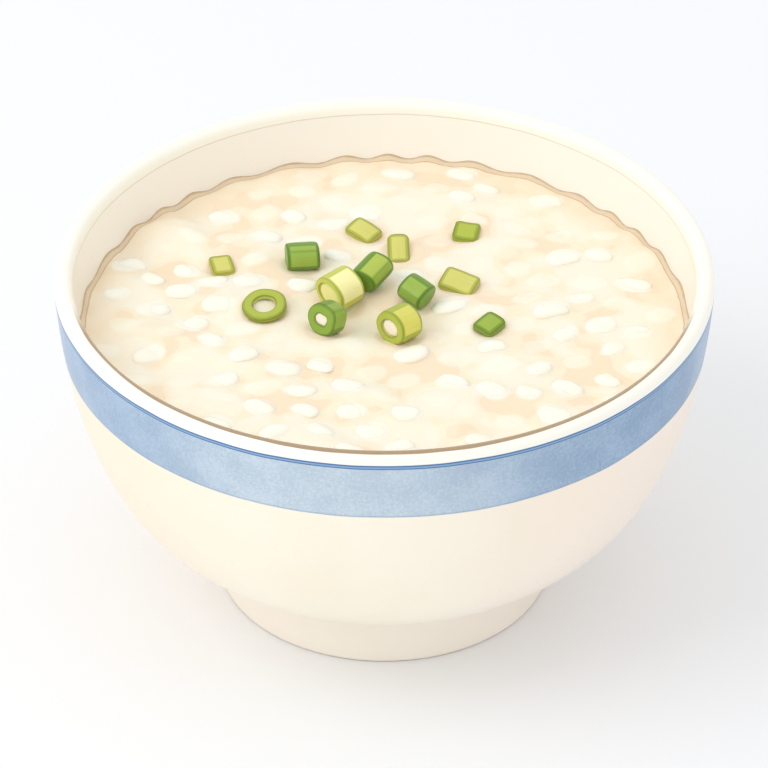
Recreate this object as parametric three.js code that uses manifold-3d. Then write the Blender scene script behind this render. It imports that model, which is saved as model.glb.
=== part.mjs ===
// A porcelain bowl of plain rice congee with sliced scallion on top.
// Millimetres, +Z up. The origin is under the middle of the foot ring, on the surface
// that the bowl stands on.

import * as THREE from 'three';
import { mergeVertices } from 'three/addons/utils/BufferGeometryUtils.js';
import Module from 'manifold-3d';

// Bowl
const BOWL_HEIGHT = 84;
const RIM_RADIUS = 75;
const LIP_THICKNESS = 4.2;
const WALL_AT_FOOT = 6;
const RIM_DRAFT = 3; // degrees that the wall leans in just under the lip
const BELLY_SLOPE = 8; // degrees from level where the body runs on to the foot
const FOOT_HEIGHT = 16;
const FOOT_TOP_RADIUS = 38.5;
const FOOT_RADIUS = 39.1;
const FOOT_RING_WIDTH = 4.2;
const RECESS_DEPTH = 10.8;
const BOWL_SIDES = 60;
// Steps down the wall curve: outside from the lip, inside from the congee's edge
const OUTER_STEPS = [0.14, 0.28, 0.41, 0.53, 0.64, 0.74, 0.83, 0.91];
const INNER_STEPS = [0.13, 0.3, 0.47, 0.64, 0.82, 1];
const FLOOR_STEPS = 2;

// Congee
const CONGEE_LEVEL = 69;
const CONTACT_GAP = 0.3;
const LUMP_HEIGHT = 0.45;
const EDGE_WAVES = 36;
const EDGE_WAVE_HEIGHT = 0.65;
const EDGE_WAVE_DRIFT = 1.3; // how far, in radians, the waves run ahead or fall behind
const EDGE_WAVE_REACH = 5;

// Rice grains that stand out of the congee
const GRAIN_COUNT = 156;
const GRAIN_LENGTH = 7.4;
const GRAIN_WIDTH = 5;
const GRAIN_DEPTH = 3;
const GRAIN_BLUNTNESS = 1.3;
const GRAIN_SUNK = 0.2; // how far a grain's middle lies under the surface
const GRAIN_FIELD_RADIUS = 65;

const CREAM_GLAZE = 0xfdf6e6;
const CONGEE_CREAM = 0xfdf3e0;
const LEAF_GREEN = 0x63a83a;
const MID_GREEN = 0xafc64f;
const PALE_GREEN = 0xdfe08a;
const STEM_CREAM = 0xf6f1ae;

// Scallion rings and tubes. x and y place the middle, and lift is its height above the
// congee there. heading and pitch, in degrees, aim the length. across and deep are the
// outer size of the cut end, level and upright. A tube with no wall given is a leaf that
// was pressed shut as it was cut, so it has no hollow.
const TUBES = [
  { name: 'scallion_ring_flat', x: -27.5, y: 3.4, lift: 1.85, heading: -105, pitch: 74,
    across: 10.1, deep: 10, wall: 2.4, length: 1.6, color: MID_GREEN },
  { name: 'scallion_ring_green', x: -13, y: -5.7, lift: 3.5, heading: -132, pitch: 14,
    across: 8.8, deep: 7.6, wall: 2.5, length: 4.5, color: LEAF_GREEN },
  { name: 'scallion_tube_front', x: 3.4, y: -6.7, lift: 3.7, heading: -135, pitch: 4,
    across: 9, deep: 7.9, wall: 1.9, length: 6.6, color: MID_GREEN },
  { name: 'scallion_tube_pale', x: -10.2, y: 7.5, lift: 4.1, heading: -138, pitch: -4,
    across: 9.8, deep: 9, wall: 1.3, length: 7.2, color: STEM_CREAM },
  { name: 'scallion_tube_left', x: -19.1, y: 22.5, lift: 2.8, heading: -174, pitch: 0,
    across: 7.2, deep: 6.2, length: 7.6, color: LEAF_GREEN },
  { name: 'scallion_tube_leaning', x: -2.8, y: 13.1, lift: 3.6, heading: -128, pitch: -14,
    across: 7.3, deep: 6.1, length: 8, color: LEAF_GREEN },
  { name: 'scallion_tube_right', x: 7.3, y: 6.2, lift: 3.2, heading: -38, pitch: -13,
    across: 7.4, deep: 6.1, length: 6.6, color: LEAF_GREEN },
];

// Scallion chips: squares of leaf wall, bowed side up. lean, in degrees, tips the face
// towards -Y, and turn swings the length round in that face.
const CHIPS = [
  { name: 'scallion_chip_west', x: -37.9, y: 21.8, lift: 1.05, lean: 10, turn: 15,
    length: 5.4, width: 6.2, color: PALE_GREEN },
  { name: 'scallion_chip_north', x: -4.9, y: 36.3, lift: 1.3, lean: 10, turn: -40,
    length: 7.7, width: 6, color: PALE_GREEN },
  { name: 'scallion_chip_upright', x: 3.3, y: 27.8, lift: 1.1, lean: 16, turn: -88,
    length: 8.2, width: 5.2, color: PALE_GREEN },
  { name: 'scallion_chip_east', x: 17.3, y: 13.5, lift: 1.3, lean: 10, turn: -24,
    length: 8.6, width: 7, color: PALE_GREEN },
  { name: 'scallion_chip_far', x: 19.3, y: 35.3, lift: 1.1, lean: 10, turn: -13,
    length: 6.1, width: 6.1, color: MID_GREEN },
  { name: 'scallion_chip_near', x: 23.9, y: -4.1, lift: 1.2, lean: 10, turn: 50,
    length: 6.6, width: 5.6, color: LEAF_GREEN },
];
const CHIP_THICKNESS = 1.25;
const CHIP_BOW = 0.5;
const CHIP_CORNER = 1.3;

const wasm = await Module();
wasm.setup();

const radians = THREE.MathUtils.degToRad;

// A repeatable stream of numbers from 0 to 1.
function randomStream(seed) {
  let state = seed >>> 0;
  return () => {
    state = (state + 0x6d2b79f5) >>> 0;
    let mix = Math.imul(state ^ (state >>> 15), 1 | state);
    mix = (mix + Math.imul(mix ^ (mix >>> 7), 61 | mix)) ^ mix;
    return ((mix ^ (mix >>> 14)) >>> 0) / 4294967296;
  };
}

// A closed geometry as a solid that can be cut and joined.
function toSolid(geometry) {
  const bare = geometry.clone();
  for (const name of Object.keys(bare.attributes)) {
    if (name !== 'position') bare.deleteAttribute(name);
  }
  const merged = mergeVertices(bare, 1e-4);
  const triangles = [];
  const index = merged.index.array;
  for (let i = 0; i < index.length; i += 3) {
    const [a, b, c] = [index[i], index[i + 1], index[i + 2]];
    if (a !== b && b !== c && c !== a) triangles.push(a, b, c);
  }
  return new wasm.Manifold(new wasm.Mesh({
    numProp: 3,
    vertProperties: new Float32Array(merged.attributes.position.array),
    triVerts: new Uint32Array(triangles),
  }));
}

function toGeometry(solid) {
  const mesh = solid.getMesh();
  const geometry = new THREE.BufferGeometry();
  geometry.setAttribute('position', new THREE.BufferAttribute(mesh.vertProperties, 3));
  geometry.setIndex(new THREE.BufferAttribute(mesh.triVerts, 1));
  geometry.computeVertexNormals();
  return geometry;
}

function namedMesh(name, geometry, color, roughness) {
  const material = new THREE.MeshStandardMaterial({ color, roughness, metalness: 0 });
  const mesh = new THREE.Mesh(geometry, material);
  mesh.name = name;
  return mesh;
}

// The bowl's outer curve, from under the lip down to the top of the foot.
const lipRadius = LIP_THICKNESS / 2;
const lipLevel = BOWL_HEIGHT - lipRadius;
const wallCurve = new THREE.CubicBezierCurve(
  new THREE.Vector2(RIM_RADIUS, lipLevel),
  new THREE.Vector2(
    RIM_RADIUS - 34 * Math.sin(radians(RIM_DRAFT)),
    lipLevel - 34 * Math.cos(radians(RIM_DRAFT)),
  ),
  new THREE.Vector2(
    FOOT_TOP_RADIUS + 25 * Math.cos(radians(BELLY_SLOPE)),
    FOOT_HEIGHT + 25 * Math.sin(radians(BELLY_SLOPE)),
  ),
  new THREE.Vector2(FOOT_TOP_RADIUS, FOOT_HEIGHT),
);

// A point of the inner face, opposite the outer curve's point at t.
function insidePoint(t, clearance) {
  const point = wallCurve.getPoint(t);
  const along = wallCurve.getTangent(t);
  const depth = THREE.MathUtils.lerp(LIP_THICKNESS, WALL_AT_FOOT, t * t) + clearance;
  return new THREE.Vector2(point.x + along.y * depth, point.y - along.x * depth);
}

// The floor inside the bowl is a shallow dish that carries on the wall's last slope.
function floorPoints(clearance) {
  const start = insidePoint(1, clearance);
  const points = [];
  for (let i = 1; i <= FLOOR_STEPS; i += 1) {
    const radius = start.x * (1 - i / FLOOR_STEPS);
    const fall = (Math.tan(radians(BELLY_SLOPE)) / (2 * start.x)) * (start.x ** 2 - radius ** 2);
    points.push(new THREE.Vector2(radius, start.y - fall));
  }
  return points;
}

function makeBowl() {
  const inside = FOOT_RADIUS - FOOT_RING_WIDTH;
  const profile = [
    new THREE.Vector2(0, RECESS_DEPTH),
    new THREE.Vector2(inside - 3.6, RECESS_DEPTH - 0.7),
    new THREE.Vector2(inside - 0.8, RECESS_DEPTH - 3),
    new THREE.Vector2(inside, 0.6),
    new THREE.Vector2(inside + 0.6, 0),
    new THREE.Vector2(FOOT_RADIUS - 0.7, 0),
    new THREE.Vector2(FOOT_RADIUS, 0.7),
    new THREE.Vector2(FOOT_TOP_RADIUS - 0.3, FOOT_HEIGHT - 1.8),
    new THREE.Vector2(FOOT_TOP_RADIUS + 0.9, FOOT_HEIGHT - 0.3),
  ];
  for (const t of [...OUTER_STEPS].reverse()) profile.push(wallCurve.getPoint(t));
  for (let i = 0; i <= 5; i += 1) {
    const angle = (Math.PI * i) / 5;
    profile.push(new THREE.Vector2(
      RIM_RADIUS - lipRadius + lipRadius * Math.cos(angle),
      lipLevel + lipRadius * Math.sin(angle),
    ));
  }
  for (const t of INNER_STEPS) profile.push(insidePoint(t, 0));
  profile.push(...floorPoints(0));
  const geometry = new THREE.LatheGeometry(profile, BOWL_SIDES);
  geometry.rotateX(Math.PI / 2);
  return namedMesh('bowl', toGeometry(toSolid(geometry)), CREAM_GLAZE, 0.2);
}

// A closed surface through stacked rings of points, bottom first, each running
// counterclockwise seen from above. Neighbouring rings may differ in count.
function ringStack(rings) {
  const positions = rings.flat().flatMap((point) => point.toArray());
  const index = [];
  let base = 0;
  for (let r = 0; r + 1 < rings.length; r += 1) {
    const [lower, upper] = [rings[r].length, rings[r + 1].length];
    const top = base + lower;
    let [i, j] = [0, 0];
    while (i < lower || j < upper) {
      const stepLower = upper === 1 || (i < lower && (i + 1) / lower <= (j + 1) / upper + 1e-9);
      if (stepLower && lower > 1 && i < lower) {
        index.push(base + i, base + ((i + 1) % lower), top + (j % upper));
        i += 1;
      } else if (upper > 1 && j < upper) {
        index.push(base + (i % lower), top + ((j + 1) % upper), top + j);
        j += 1;
      } else {
        break;
      }
    }
    base = top;
  }
  const geometry = new THREE.BufferGeometry();
  geometry.setAttribute('position', new THREE.Float32BufferAttribute(positions, 3));
  geometry.setIndex(index);
  return geometry;
}

// The congee's surface: low lumps that die away at the wall, where a wavy edge climbs it.
const lumps = [];
const lumpRandom = randomStream(17);
for (let i = 0; i < 9; i += 1) {
  const direction = lumpRandom() * Math.PI * 2;
  const wavelength = 16 + 22 * lumpRandom();
  lumps.push({
    kx: (Math.cos(direction) * Math.PI * 2) / wavelength,
    ky: (Math.sin(direction) * Math.PI * 2) / wavelength,
    phase: lumpRandom() * Math.PI * 2,
  });
}
const [edgeHigh, edgeLow] = INNER_STEPS.slice(0, 2).map((t) => insidePoint(t, CONTACT_GAP));

// How far out the congee reaches at a height near its edge.
function edgeRadiusAt(height) {
  const down = (edgeHigh.y - height) / (edgeHigh.y - edgeLow.y);
  return THREE.MathUtils.lerp(edgeHigh.x, edgeLow.x, down);
}
const edgeRadius = edgeRadiusAt(CONGEE_LEVEL);

function congeeHeight(x, y) {
  const radius = Math.hypot(x, y);
  const angle = Math.atan2(y, x);
  const inward = THREE.MathUtils.clamp((edgeRadius - radius) / EDGE_WAVE_REACH, 0, 1);
  const edge = (1 - inward) ** 2;
  let height = 0;
  for (const lump of lumps) {
    height += Math.cos(lump.kx * x + lump.ky * y + lump.phase);
  }
  const drift = EDGE_WAVE_DRIFT * Math.sin(7 * angle + 2);
  const wave = Math.cos(EDGE_WAVES * angle + drift) + 0.35 * Math.sin(5 * angle + 1);
  return CONGEE_LEVEL
    + (LUMP_HEIGHT / 2) * height * (1 - edge)
    + EDGE_WAVE_HEIGHT * wave * edge;
}

function ring(radius, count, height) {
  const points = [];
  for (let i = 0; i < count; i += 1) {
    const angle = (Math.PI * 2 * i) / count;
    const [x, y] = [radius * Math.cos(angle), radius * Math.sin(angle)];
    points.push(new THREE.Vector3(x, y, height(x, y)));
  }
  return points;
}

function congeeCore() {
  const rings = [];
  for (const point of floorPoints(CONTACT_GAP).reverse()) {
    rings.push(point.x < 1e-6
      ? [new THREE.Vector3(0, 0, point.y)]
      : ring(point.x, EDGE_WAVES, () => point.y));
  }
  for (const t of [...INNER_STEPS].reverse().slice(0, -1)) {
    const point = insidePoint(t, CONTACT_GAP);
    rings.push(ring(point.x, EDGE_WAVES, () => point.y));
  }
  const edge = ring(edgeRadius, EDGE_WAVES * 4, congeeHeight);
  for (const point of edge) {
    const stretch = edgeRadiusAt(point.z) / edgeRadius;
    point.set(point.x * stretch, point.y * stretch, point.z);
  }
  rings.push(edge);
  for (const radius of [66.5, 59, 50, 40]) {
    rings.push(ring(radius, EDGE_WAVES, congeeHeight));
  }
  for (const radius of [27, 13]) rings.push(ring(radius, EDGE_WAVES / 2, congeeHeight));
  rings.push([new THREE.Vector3(0, 0, congeeHeight(0, 0))]);
  return toSolid(ringStack(rings));
}

// A cut length of scallion along its local Z, or with grow the room kept round it.
function tubeGeometry({ across, deep, wall, length }, grow, filled) {
  const shape = new THREE.Shape();
  shape.absellipse(0, 0, deep / 2 + grow, across / 2 + grow, 0, Math.PI * 2);
  if (wall && !filled) {
    const hole = new THREE.Path();
    hole.absellipse(0, 0, deep / 2 - wall - grow, across / 2 - wall - grow, 0, Math.PI * 2, true);
    shape.holes.push(hole);
  }
  const depth = length + 2 * grow;
  const geometry = new THREE.ExtrudeGeometry(shape, { depth, bevelEnabled: false, curveSegments: 8 });
  geometry.translate(0, 0, -depth / 2);
  return geometry;
}

function tubePlacing({ x, y, lift, heading, pitch }) {
  const turn = new THREE.Quaternion().setFromAxisAngle(new THREE.Vector3(0, 0, 1), radians(heading));
  const tip = new THREE.Quaternion()
    .setFromAxisAngle(new THREE.Vector3(0, 1, 0), radians(90 - pitch));
  const position = new THREE.Vector3(x, y, congeeHeight(x, y) + lift);
  return { position, quaternion: turn.multiply(tip) };
}

// A bowed square of leaf wall: a shallow arch along its local X, with its corners rounded.
function chipGeometry({ length, width }, grow) {
  const half = width / 2 + 1;
  const radius = (width ** 2 / 4 + CHIP_BOW ** 2) / (2 * CHIP_BOW);
  const sweep = Math.asin(half / (radius + CHIP_THICKNESS));
  const arch = new THREE.Shape();
  const top = radius + CHIP_THICKNESS / 2 + grow;
  const under = radius - CHIP_THICKNESS / 2 - grow;
  const middle = Math.PI / 2;
  arch.absarc(0, -radius, top, middle - sweep, middle + sweep);
  arch.absarc(0, -radius, under, middle + sweep, middle - sweep, true);
  const long = length + 2;
  const bar = new THREE.ExtrudeGeometry(arch, {
    depth: long, bevelEnabled: false, curveSegments: 4,
  });
  bar.translate(0, 0, -long / 2);
  bar.rotateX(Math.PI / 2);
  bar.rotateZ(Math.PI / 2);

  const [a, b] = [length / 2 + grow, width / 2 + grow];
  const corner = CHIP_CORNER + grow;
  const outline = new THREE.Shape();
  outline.absarc(a - corner, b - corner, corner, 0, Math.PI / 2);
  outline.absarc(-a + corner, b - corner, corner, Math.PI / 2, Math.PI);
  outline.absarc(-a + corner, -b + corner, corner, Math.PI, Math.PI * 1.5);
  outline.absarc(a - corner, -b + corner, corner, Math.PI * 1.5, Math.PI * 2);
  const prism = new THREE.ExtrudeGeometry(outline, {
    depth: 8, bevelEnabled: false, curveSegments: 2,
  });
  prism.translate(0, 0, -4);
  return toGeometry(toSolid(bar).intersect(toSolid(prism)));
}

function chipPlacing({ x, y, lift, lean, turn }) {
  const tip = new THREE.Quaternion().setFromAxisAngle(new THREE.Vector3(1, 0, 0), radians(lean));
  const swing = new THREE.Quaternion().setFromAxisAngle(new THREE.Vector3(0, 0, 1), radians(turn));
  const position = new THREE.Vector3(x, y, congeeHeight(x, y) + lift);
  return { position, quaternion: tip.multiply(swing) };
}

// A pocket is the room that a scallion piece takes in the congee, with the contact gap.
function placedSolid(geometry, { position, quaternion }) {
  const placed = geometry.clone();
  placed.applyQuaternion(quaternion);
  placed.translate(position.x, position.y, position.z);
  return toSolid(placed);
}

// One swollen grain of rice, lying along its local X, with its ends drawn out blunt.
function grainGeometry(length, width, depth) {
  const grain = new THREE.SphereGeometry(0.5, 6, 3);
  grain.rotateZ(Math.PI / 2);
  const place = grain.attributes.position;
  for (let i = 0; i < place.count; i += 1) {
    if (Math.abs(place.getX(i)) < 0.4) place.setX(i, place.getX(i) * GRAIN_BLUNTNESS);
  }
  grain.scale(length, width, depth);
  return grain;
}

// Grains are spread by the sunflower rule, nudged and turned at random. A grain that would
// touch a scallion piece is left out.
function grainHeap(pockets) {
  const random = randomStream(5);
  let heap = null;
  for (let i = 0; i < GRAIN_COUNT; i += 1) {
    const radius = GRAIN_FIELD_RADIUS * Math.sqrt((i + 0.5) / GRAIN_COUNT);
    const angle = i * Math.PI * (3 - Math.sqrt(5));
    const x = radius * Math.cos(angle) + 2.4 * (random() - 0.5);
    const y = radius * Math.sin(angle) + 2.4 * (random() - 0.5);
    const size = 0.8 + 0.35 * random();
    const grain = grainGeometry(size * GRAIN_LENGTH, size * GRAIN_WIDTH, size * GRAIN_DEPTH);
    grain.rotateX((random() - 0.5) * 0.5);
    grain.rotateY((random() - 0.5) * 0.15);
    grain.rotateZ((random() - 0.5) * 1.5);
    grain.translate(x, y, congeeHeight(x, y) - GRAIN_SUNK + 0.4 * (random() - 0.5));
    const solid = toSolid(grain);
    if (solid.intersect(pockets).isEmpty()) heap = heap ? heap.add(solid) : solid;
  }
  return heap;
}

const group = new THREE.Group();
group.add(makeBowl());

let pockets = null;
const scallions = [];
for (const tube of TUBES) {
  const placing = tubePlacing(tube);
  const mesh = namedMesh(tube.name, tubeGeometry(tube, 0, false), tube.color, 0.35);
  const filled = tube.pitch < 45;
  scallions.push({ mesh, placing, room: tubeGeometry(tube, CONTACT_GAP, filled) });
}
for (const chip of CHIPS) {
  const placing = chipPlacing(chip);
  const mesh = namedMesh(chip.name, chipGeometry(chip, 0), chip.color, 0.35);
  scallions.push({ mesh, placing, room: chipGeometry(chip, CONTACT_GAP) });
}
for (const { mesh, placing, room } of scallions) {
  mesh.position.copy(placing.position);
  mesh.quaternion.copy(placing.quaternion);
  const pocket = placedSolid(room, placing);
  pockets = pockets ? pockets.add(pocket) : pocket;
}

const congee = congeeCore().subtract(pockets).add(grainHeap(pockets));
group.add(namedMesh('congee', toGeometry(congee), CONGEE_CREAM, 0.4));
for (const { mesh } of scallions) group.add(mesh);

export default group;
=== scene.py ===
import math

import bpy
import numpy as np
from mathutils import Euler, Matrix, Vector, noise


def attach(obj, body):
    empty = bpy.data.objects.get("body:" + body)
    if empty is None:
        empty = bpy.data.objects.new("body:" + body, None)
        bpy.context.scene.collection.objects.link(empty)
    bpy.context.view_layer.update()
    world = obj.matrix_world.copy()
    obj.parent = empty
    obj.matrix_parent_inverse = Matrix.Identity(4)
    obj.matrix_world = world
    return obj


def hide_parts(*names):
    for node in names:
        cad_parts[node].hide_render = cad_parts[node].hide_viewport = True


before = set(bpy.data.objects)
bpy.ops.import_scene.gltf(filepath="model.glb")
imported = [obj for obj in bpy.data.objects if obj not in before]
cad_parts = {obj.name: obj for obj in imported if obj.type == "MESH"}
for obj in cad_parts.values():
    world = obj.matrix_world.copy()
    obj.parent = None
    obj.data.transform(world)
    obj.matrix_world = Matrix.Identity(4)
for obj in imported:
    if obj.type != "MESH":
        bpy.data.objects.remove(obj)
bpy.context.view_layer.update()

# ---------------------------------------------------------------------------
# Bowl: one piece of porcelain thrown on a wheel, with a rounded lip, a deep belly and a
# foot ring trimmed from its underside. Its half section is drawn, then spun round the axis.
# ---------------------------------------------------------------------------
BOWL_HEIGHT = 0.084
RIM_RADIUS = 0.075
LIP_THICKNESS = 0.0042
WALL_AT_FOOT = 0.006
RIM_DRAFT = math.radians(3)
BELLY_SLOPE = math.radians(8)
RIM_PULL = 0.034
BELLY_PULL = 0.025
FOOT_HEIGHT = 0.016
FOOT_TOP_RADIUS = 0.0385
FOOT_RADIUS = 0.0391
FOOT_RING_WIDTH = 0.0042
FOOT_EDGE = 0.0009
RECESS_DEPTH = 0.0108
RECESS_DOME = 0.0005
TURNING_STEPS = 256
LIP_STEPS = 18
FLOOR_STEPS = 7

lip_radius = LIP_THICKNESS / 2
lip_level = BOWL_HEIGHT - lip_radius
foot_inside = FOOT_RADIUS - FOOT_RING_WIDTH
# The outer wall is one curve from under the lip to the foot: its two ends and two handles.
wall_top = Vector((RIM_RADIUS, lip_level))
wall_top_pull = wall_top - RIM_PULL * Vector((math.sin(RIM_DRAFT), math.cos(RIM_DRAFT)))
wall_foot = Vector((FOOT_TOP_RADIUS, FOOT_HEIGHT))
wall_foot_pull = wall_foot + BELLY_PULL * Vector((math.cos(BELLY_SLOPE), math.sin(BELLY_SLOPE)))


def outside_wall(t):
    """(radius, height) of the outer face, from t = 0 under the lip to t = 1 at the foot."""
    return ((1 - t) ** 3 * wall_top + 3 * (1 - t) ** 2 * t * wall_top_pull
            + 3 * (1 - t) * t * t * wall_foot_pull + t ** 3 * wall_foot)


def inside_wall(t, clearance=0.0):
    """(radius, height) of the inner face opposite outside_wall(t), moved in by clearance."""
    along = ((wall_top_pull - wall_top) * (1 - t) ** 2
             + (wall_foot_pull - wall_top_pull) * 2 * (1 - t) * t
             + (wall_foot - wall_foot_pull) * t * t).normalized()
    depth = LIP_THICKNESS + (WALL_AT_FOOT - LIP_THICKNESS) * t * t + clearance
    return outside_wall(t) + Vector((along.y, -along.x)) * depth


def rounded(start, corner, end, steps):
    """Points round a corner: from start to end, turning towards corner between them."""
    start, corner, end = Vector(start), Vector(corner), Vector(end)
    shares = [i / steps for i in range(steps + 1)]
    return [(1 - t) ** 2 * start + 2 * (1 - t) * t * corner + t * t * end for t in shares]


def spin_closed(name, points, steps):
    """A line drawn through points (radius, height), spun round Z and closed at both poles."""
    bpy.ops.object.select_all(action="DESELECT")
    bpy.ops.mesh.primitive_plane_add(size=0.001)
    piece = bpy.context.object
    piece.name = name
    bpy.ops.object.mode_set(mode="EDIT")
    bpy.ops.mesh.select_all(action="SELECT")
    bpy.ops.mesh.merge(type="CENTER")
    bpy.ops.transform.translate(value=(points[0].x, 0, points[0].y))
    for before, after in zip(points, points[1:]):
        step = (after.x - before.x, 0, after.y - before.y)
        bpy.ops.mesh.extrude_region_move(TRANSFORM_OT_translate={"value": step})
    bpy.ops.mesh.select_all(action="SELECT")
    bpy.ops.mesh.spin(steps=steps, angle=2 * math.pi, center=(0, 0, 0), axis=(0, 0, 1))
    bpy.ops.mesh.select_all(action="SELECT")
    bpy.ops.mesh.remove_doubles(threshold=2e-6)
    bpy.ops.mesh.normals_make_consistent(inside=False)
    bpy.ops.object.mode_set(mode="OBJECT")
    bpy.ops.object.shade_smooth()
    return piece


# From the middle of the recess out, and down to the edge that the foot ring stands on.
half_section = [Vector((foot_inside * k / 6, RECESS_DEPTH - RECESS_DOME * (k / 5) ** 2))
                for k in range(6)]
half_section += rounded((foot_inside - 0.0038, RECESS_DEPTH - 0.0007),
                        (foot_inside - 0.0008, RECESS_DEPTH - 0.0012),
                        (foot_inside - 0.0006, RECESS_DEPTH - 0.004), 6)
half_section += rounded((foot_inside, FOOT_EDGE), (foot_inside + 0.0001, 0),
                        (foot_inside + FOOT_EDGE, 0), 4)
# Up the outside of the foot, round into the belly, and up the wall to the lip.
half_section += rounded((FOOT_RADIUS - FOOT_EDGE, 0), (FOOT_RADIUS, 0),
                        (FOOT_RADIUS, FOOT_EDGE), 4)
half_section += [Vector((FOOT_RADIUS - 0.0007 * k / 4, FOOT_EDGE + 0.003 * k))
                 for k in range(1, 4)]
half_section += rounded((FOOT_TOP_RADIUS - 0.0001, FOOT_HEIGHT - 0.0012),
                        (FOOT_TOP_RADIUS, FOOT_HEIGHT - 0.0001), outside_wall(0.985), 7)
half_section += [outside_wall(t) for t in np.linspace(0.97, 0.02, 46).tolist()]
# Over the lip, down the inner wall, and in across the floor to its middle.
for k in range(LIP_STEPS + 1):
    turn = math.pi * k / LIP_STEPS
    around_lip = Vector((math.cos(turn), math.sin(turn)))
    half_section.append(Vector((RIM_RADIUS - lip_radius, lip_level)) + lip_radius * around_lip)
half_section += [inside_wall(t) for t in np.linspace(0.02, 1, 30).tolist()]
floor_edge = inside_wall(1.0)
for k in range(1, FLOOR_STEPS + 1):
    reach = 1 - k / FLOOR_STEPS
    fall = math.tan(BELLY_SLOPE) * floor_edge.x / 2 * (1 - reach ** 2)
    half_section.append(Vector((floor_edge.x * reach, floor_edge.y - fall)))

bowl = spin_closed("porcelain_bowl", half_section, TURNING_STEPS)


def srgb(red, green, blue):
    """A screen colour, 0 to 255 a channel, as the linear colour that a shader takes."""
    shares = [value / 255 for value in (red, green, blue)]
    return (*(s / 12.92 if s <= 0.04045 else ((s + 0.055) / 1.055) ** 2.4 for s in shares), 1)


class Wiring:
    """Adds nodes to one node tree. Each input is a plain value or another node's output."""

    def __init__(self, tree):
        self.tree = tree

    def feed(self, socket, value):
        if isinstance(value, bpy.types.NodeSocket):
            self.tree.links.new(value, socket)
        else:
            socket.default_value = value

    def node(self, kind, inputs, **settings):
        made = self.tree.nodes.new(kind)
        for name, value in settings.items():
            setattr(made, name, value)
        for name, value in inputs.items():
            self.feed(made.inputs[name], value)
        return made

    def math(self, operation, a, b=0.0, clamped=False):
        return self.node("ShaderNodeMath", {0: a, 1: b},
                         operation=operation, use_clamp=clamped).outputs[0]

    def step(self, value, low, high):
        """0 below low and 1 above high, with a smooth step between."""
        inputs = {"Value": value, "From Min": low, "From Max": high}
        return self.node("ShaderNodeMapRange", inputs,
                         interpolation_type="SMOOTHSTEP").outputs["Result"]

    def fade(self, value, low, high):
        """1 below low and 0 above high, with a smooth step between."""
        return self.math("SUBTRACT", 1.0, self.step(value, low, high))

    def between(self, value, low, high, soft):
        """1 between low and high and 0 outside, with soft edges."""
        rising = self.step(value, low - soft, low + soft)
        falling = self.step(value, high - soft, high + soft)
        return self.math("SUBTRACT", rising, falling, clamped=True)

    def ramp(self, value, start, rise):
        """start where the value is 0, and start + rise where it is 1."""
        return self.math("ADD", start, self.math("MULTIPLY", value, rise))

    def centred(self, value, reach):
        """A value that runs from 0 to 1, as one that runs reach wide, half on each side of 0."""
        return self.math("MULTIPLY", self.math("SUBTRACT", value, 0.5), reach)

    def mix(self, share, under, over):
        """Two colours mixed: under where share is 0, over where it is 1."""
        return self.node("ShaderNodeMix", {0: share, 6: under, 7: over},
                         data_type="RGBA").outputs[2]

    def tint(self, under, share, over, strength=1.0):
        """A colour with another laid over it, never more fully than the given strength."""
        if strength < 1:
            share = self.math("MULTIPLY", share, strength)
        return self.mix(share, under, over)

    def stored(self, label):
        """What the piece's own corners carry under this name."""
        return self.node("ShaderNodeAttribute", {}, attribute_name=label).outputs

    def noise(self, place, scale, detail=2.0, roughness=0.5):
        inputs = {"Vector": place, "Scale": scale, "Detail": detail, "Roughness": roughness}
        return self.node("ShaderNodeTexNoise", inputs).outputs["Fac"]

    def bump(self, height, distance, strength):
        inputs = {"Height": height, "Distance": distance, "Strength": strength}
        return self.node("ShaderNodeBump", inputs).outputs["Normal"]

    def group(self, name, inputs):
        return self.node("ShaderNodeGroup", inputs, node_tree=bpy.data.node_groups[name]).outputs


def new_material(name, **constants):
    """A material: its wiring, its shader with the given constants set, and its position."""
    material = bpy.data.materials.new(name)
    material.use_nodes = True
    shader = material.node_tree.nodes["Principled BSDF"]
    for label, value in constants.items():
        shader.inputs[label.replace("_", " ")].default_value = value
    wires = Wiring(material.node_tree)
    return material, wires, shader.inputs, wires.node("ShaderNodeTexCoord", {}).outputs["Object"]


def new_group(name, inputs, outputs):
    """A shader node group with the named inputs, {label: (kind, default)}, and outputs."""
    tree = bpy.data.node_groups.new(name, "ShaderNodeTree")
    for label, (kind, default) in inputs.items():
        socket = tree.interface.new_socket(label, in_out="INPUT", socket_type=kind)
        if default is not None:
            socket.default_value = default
    for label, kind in outputs.items():
        tree.interface.new_socket(label, in_out="OUTPUT", socket_type=kind)
    group_in = tree.nodes.new("NodeGroupInput").outputs
    group_out = tree.nodes.new("NodeGroupOutput").inputs
    return Wiring(tree), group_in, group_out


# Cloudy patches with a finer grain in them, as fired glaze, set starch and leaf all show.
g, g_in, g_out = new_group(
    "cloudy",
    {"Position": ("NodeSocketVector", None), "Patches per metre": ("NodeSocketFloat", 60.0),
     "Grains per metre": ("NodeSocketFloat", 600.0), "Grain share": ("NodeSocketFloat", 0.3)},
    {"Cloud": "NodeSocketFloat", "Grain": "NodeSocketFloat"})
patches = g.noise(g_in["Position"], g_in["Patches per metre"], 3.0)
grain = g.noise(g_in["Position"], g_in["Grains per metre"], 3.0, 0.6)
g.feed(g_out["Cloud"], g.math("ADD", g.math("MULTIPLY", grain, g_in["Grain share"]),
       g.math("MULTIPLY", patches, g.math("SUBTRACT", 1.0, g_in["Grain share"]))))
g.feed(g_out["Grain"], grain)

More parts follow.
